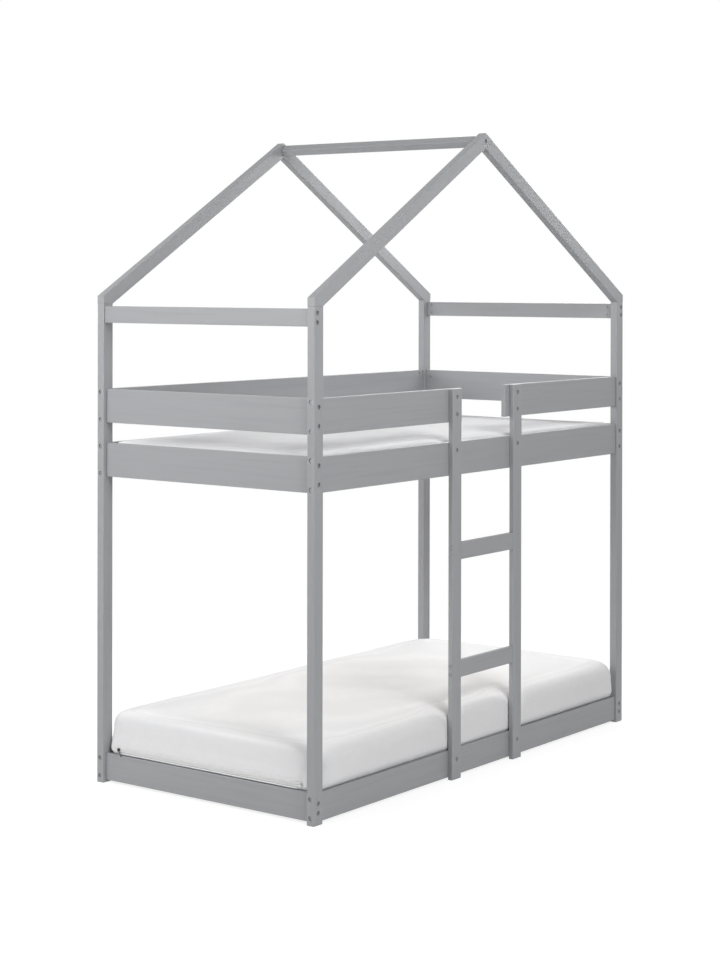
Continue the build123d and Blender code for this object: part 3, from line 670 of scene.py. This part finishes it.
def makeUpperMattress(s):
    piece = remeshedCopy("upperMattressCover", "upper_mattress", s["voxel"])
    low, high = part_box("upper_mattress")
    swell(piece, s)
    subdivide(piece)
    points, normals = readPoints(piece), readNormals(piece)
    x, y, z = points.T
    middleY = (low.y + high.y) / 2
    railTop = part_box("upper_rail_front")[1].z
    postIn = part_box("post_front_right")[0].x
    tall = smooth(high.z - s["lipFrom"], high.z - s["lipFull"], z)
    nearFront = np.exp(-((y - low.y) / s["lipReach"]) ** 2)
    postFade = smooth(*s["postFade"], postIn - np.abs(x))
    room = stileDent(x, s["stileClear"], s["stileRound"]) * postFade
    plan = crownPlan(x, y, middleY, high)
    top = smooth(*s["topFacing"], normals[:, 2])
    z += top * (s["crown"] * np.sqrt(plan) + s["waveHeight"] * waves(points, s["waveSize"], 5))
    z -= top * s["dimple"] * stileDimple(x, y, s["dimpleReach"])
    z += tall * nearFront * room * s["lipRise"]
    y -= tall * nearFront * room * s["lip"]
    writePoints(piece, points)
    soften(piece, smooth(railTop - s["softFrom"], railTop, z), s["softening"])
    points = readPoints(piece)
    clearOfFrame(points, "upper", s["wallClear"])
    writePoints(piece, points)
    return piece


ticking = fabricMaterial("knittedTicking", knitTicking, 0.12)
for maker, settings, cadName in (
        (makeLowerMattress, lowerPad, "lower_mattress"),
        (makeUpperMattress, upperPad, "upper_mattress")):
    cover = maker(settings)
    dress(cover, ticking)
    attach(cover, cadName)  # the body has the node's name
    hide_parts(cadName)
    print("stage 3:", cover.name, len(cover.data.vertices), "points")


# Zip along the foot end of the lower cover: a woven tape, a coil of plastic teeth and two rolled hems
zipLine = {
    "coilWide": 3.4,  # mm, as is everything here but the counts, rates and shares
    "coilThick": 1.5,
    "coilPitch": 1.7,
    "coilSteps": 8,  # points to a turn
    "coilProud": 0.2,  # of the tape's face
    "wire": 0.62,
    "tapeSteps": 160,
    "tapeRipple": 0.15,
    "rippleRate": 40.0,  # per metre
    "tapeFold": 0.1,  # how far its middle is pressed out
    "hemRound": 3.4,
    "hemOverShare": 0.62,  # of the lower hem's radius
    "hemUnder": 4.6,  # below the tape, to the hem's middle
    "hemOver": 1.6,
    "hemSink": 1.2,  # how deep the hem's middle lies behind the tape
    "hemSpill": 3.0,  # past the tape's ends, where it dives into the cover
    "hemDive": 18.0,
    "diveSteps": 4,
    "hemSteps": 90,
    "hemWander": 0.4,
    "wanderRate": 12.0,  # per metre
}


def tube(name, points, radius, sides):
    curve = bpy.data.curves.new(name, "CURVE")
    curve.dimensions = "3D"
    spline = curve.splines.new("NURBS")
    spline.points.add(len(points) - 1)
    for point, place in zip(spline.points, points):
        point.co = (*place, 1)
    spline.order_u = 3
    spline.use_endpoint_u = True
    curve.bevel_depth = radius
    curve.bevel_resolution = sides
    curve.use_fill_caps = True
    piece = addPiece(name, curve)
    dg = bpy.context.evaluated_depsgraph_get()
    mesh = bpy.data.meshes.new_from_object(piece.evaluated_get(dg))
    bpy.data.objects.remove(piece)
    made = addPiece(name, mesh)
    for face in mesh.polygons:
        face.use_smooth = True
    return made


def makeZipTeeth(s):
    low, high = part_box("lower_zip_tape")
    mid = (low.z + high.z) / 2
    pitch = s["coilPitch"] * mm
    coil = []
    for i in range(int((high.y - low.y) / pitch) * s["coilSteps"]):
        angle = 2 * math.pi * i / s["coilSteps"]
        outward = s["coilThick"] / 2 * math.cos(angle) + s["coilProud"]
        rise = s["coilWide"] / 2 * math.sin(angle)
        coil.append((low.x - outward * mm, low.y + i / s["coilSteps"] * pitch, mid + rise * mm))
    return tube("lowerZipCoil", coil, s["wire"] / 2 * mm, 1)


def makeZipTape(s):
    low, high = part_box("lower_zip_tape")
    mid = (low.z + high.z) / 2
    mesh = bpy.data.meshes.new("lowerZipTapeWoven")
    bm = bmesh.new()
    rows = []
    for i in range(s["tapeSteps"] + 1):
        y = low.y + (high.y - low.y) * i / s["tapeSteps"]
        face = low.x + s["tapeRipple"] * mm * noise.noise(Vector((0, y * s["rippleRate"], 0)))
        ring = [(high.x, low.z), (face, low.z), (face - s["tapeFold"] * mm, mid), (face, high.z),
                (high.x, high.z)]
        rows.append([bm.verts.new((px, y, pz)) for px, pz in ring])
    for first, second in zip(rows, rows[1:]):
        for k in range(len(first)):
            after = (k + 1) % len(first)
            bm.faces.new((first[k], first[after], second[after], second[k]))
    bm.faces.new(rows[0][::-1])
    bm.faces.new(rows[-1])
    bmesh.ops.recalc_face_normals(bm, faces=bm.faces)
    bm.to_mesh(mesh)
    bm.free()
    return addPiece("lowerZipTapeWoven", mesh)


def makeZipHem(name, z, radius, s):
    low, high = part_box("lower_zip_tape")
    spill = s["hemSpill"] * mm
    line = []
    for i in range(s["hemSteps"] + 1):
        y = low.y - spill + (high.y - low.y + 2 * spill) * i / s["hemSteps"]
        fromEnd = min(i, s["hemSteps"] - i) / s["diveSteps"]
        inward = s["hemSink"] + s["hemDive"] * max(0, 1 - fromEnd) ** 2
        wander = s["hemWander"] * mm * noise.noise(Vector((3, y * s["wanderRate"], z)))
        line.append((high.x + inward * mm, y, z + wander))
    return tube(name, line, radius, 3)


def makeZip(s):
    low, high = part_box("lower_zip_tape")
    radius = s["hemRound"] * mm
    teeth = makeZipTeeth(s)
    tape = makeZipTape(s)
    under = makeZipHem("lowerZipHemUnder", low.z - s["hemUnder"] * mm, radius, s)
    over = makeZipHem("lowerZipHemOver", high.z + s["hemOver"] * mm, radius * s["hemOverShare"], s)
    return teeth, tape, (under, over)


zipTeeth, zipTape, zipHems = makeZip(zipLine)
tapeFabric = fabricMaterial("wovenZipTape", wovenTape, 0.05)
dress(zipTape, tapeFabric)
dress(zipTeeth, tapeFabric)
for hem in zipHems:
    dress(hem, ticking)
for piece in (zipTape, zipTeeth, *zipHems):
    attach(piece, "lower_mattress")
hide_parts("lower_zip_tape")
print("stage 4: zip sewn in")


# Studio: a white floor that keeps a soft shadow, a white surround and six soft boxes
studio = {
    "floorSize": 16.0,  # metres
    "floorDrop": 0.3,  # mm under the posts' feet
    "floorBounce": 0.80,
    "floorSeen": 0.25,  # share of the floor's own shading that the camera sees
    "floorGlow": 0.83,
    "fadeFrom": 1.7,  # metres from the middle, where the shading gives way to plain white
    "fadeTo": 3.4,
    "ambient": 0.05,
    "boxes": {
        "leftBox": {
            "place": (-3.5, 1.0, 2.3), "aim": (-0.9, 0.4, 1.3), "size": (2.4, 2.0), "power": 71},
        "frontLeftBox": {
            "place": (-2.4, -4.3, 3.2), "aim": (-0.6, -0.4, 1.5), "size": (1.8, 1.8), "power": 94},
        "frontHighBox": {
            "place": (-1.2, -4.2, 4.0), "aim": (-0.2, -0.4, 1.6), "size": (2.0, 1.6), "power": 75},
        "rightBox": {
            "place": (2.2, -0.6, 2.3), "aim": (0.6, 0.5, 1.2), "size": (0.9, 0.9), "power": 16},
        "rightHighBox": {
            "place": (3.0, 1.0, 3.4), "aim": (0.4, 0.2, 1.3), "size": (1.6, 1.6), "power": 58},
        "backBox": {
            "place": (-0.5, 4.2, 2.6), "aim": (0.0, 0.3, 1.3), "size": (2.4, 1.8), "power": 112},
    },
}


def makeFloor(s):
    bm = bmesh.new()
    bmesh.ops.create_grid(bm, x_segments=8, y_segments=8, size=s["floorSize"] / 2)
    mesh = bpy.data.meshes.new("studioFloor")
    bm.to_mesh(mesh)
    bm.free()
    floor = addPiece("studioFloor", mesh)
    floor.location.z = -s["floorDrop"] * mm
    material, tree = newMaterial("whiteStudioFloor")
    rays = addNode(tree, "LightPath")
    place = addNode(tree, "NewGeometry").outputs["Position"]
    away = addNode(tree, "VectorMath", {"operation": "LENGTH"}, {0: place})
    fade = addNode(tree, "MapRange", {"interpolation_type": "SMOOTHSTEP"}, {
        0: away.outputs["Value"], "From Min": s["fadeFrom"], "From Max": s["fadeTo"]})
    bounce = addNode(tree, "BsdfDiffuse", None, {"Color": (s["floorBounce"],) * 3 + (1,)})
    seen = addNode(tree, "BsdfDiffuse", None, {"Color": (s["floorSeen"],) * 3 + (1,)})
    glow = addNode(tree, "Emission", None, {"Color": (1, 1, 1, 1), "Strength": s["floorGlow"]})
    white = addNode(tree, "Emission", None, {"Color": (1, 1, 1, 1), "Strength": 1.0})
    near = addNode(tree, "AddShader", None, {0: seen.outputs[0], 1: glow.outputs[0]})
    look = addNode(tree, "MixShader", None, {0: fade.outputs[0], 1: near.outputs[0], 2: white.outputs[0]})
    direct = addNode(tree, "Math", {"operation": "MAXIMUM"}, {
        0: rays.outputs["Is Camera Ray"], 1: rays.outputs["Is Glossy Ray"]})
    whole = addNode(tree, "MixShader", None, {0: direct.outputs[0], 1: bounce.outputs[0], 2: look.outputs[0]})
    addNode(tree, "OutputMaterial", None, {"Surface": whole.outputs[0]})
    dress(floor, material)


def makeSurround(s):
    world = bpy.data.worlds.new("whiteSurround")
    world.use_nodes = True
    tree = world.node_tree
    tree.nodes.clear()
    rays = addNode(tree, "LightPath")
    seen = addNode(tree, "Math", {"operation": "MAXIMUM"}, {
        0: rays.outputs["Is Camera Ray"], 1: rays.outputs["Is Glossy Ray"]})
    either = addNode(tree, "Math", {"operation": "MAXIMUM"}, {
        0: seen.outputs[0], 1: rays.outputs["Is Transmission Ray"]})
    soft = addNode(tree, "Background", None, {"Color": (1, 1, 1, 1), "Strength": s["ambient"]})
    white = addNode(tree, "Background", None, {"Color": (1, 1, 1, 1), "Strength": 1.0})
    whole = addNode(tree, "MixShader", None, {0: either.outputs[0], 1: soft.outputs[0], 2: white.outputs[0]})
    addNode(tree, "OutputWorld", None, {"Surface": whole.outputs[0]})
    bpy.context.scene.world = world


def makeSoftBoxes(s):
    for name, box in s["boxes"].items():
        data = bpy.data.lights.new(name, "AREA")
        data.shape = "RECTANGLE"
        data.size, data.size_y = box["size"]
        data.energy = box["power"]
        lamp = bpy.data.objects.new(name, data)
        bpy.context.scene.collection.objects.link(lamp)
        lamp.location = box["place"]
        lamp.rotation_euler = (Vector(box["aim"]) - Vector(box["place"])).to_track_quat("-Z", "Y").to_euler()
        lamp.visible_camera = False


makeFloor(studio)
makeSurround(studio)
makeSoftBoxes(studio)
bpy.context.scene.view_settings.view_transform = "Standard"
print("stage 5: studio lit")
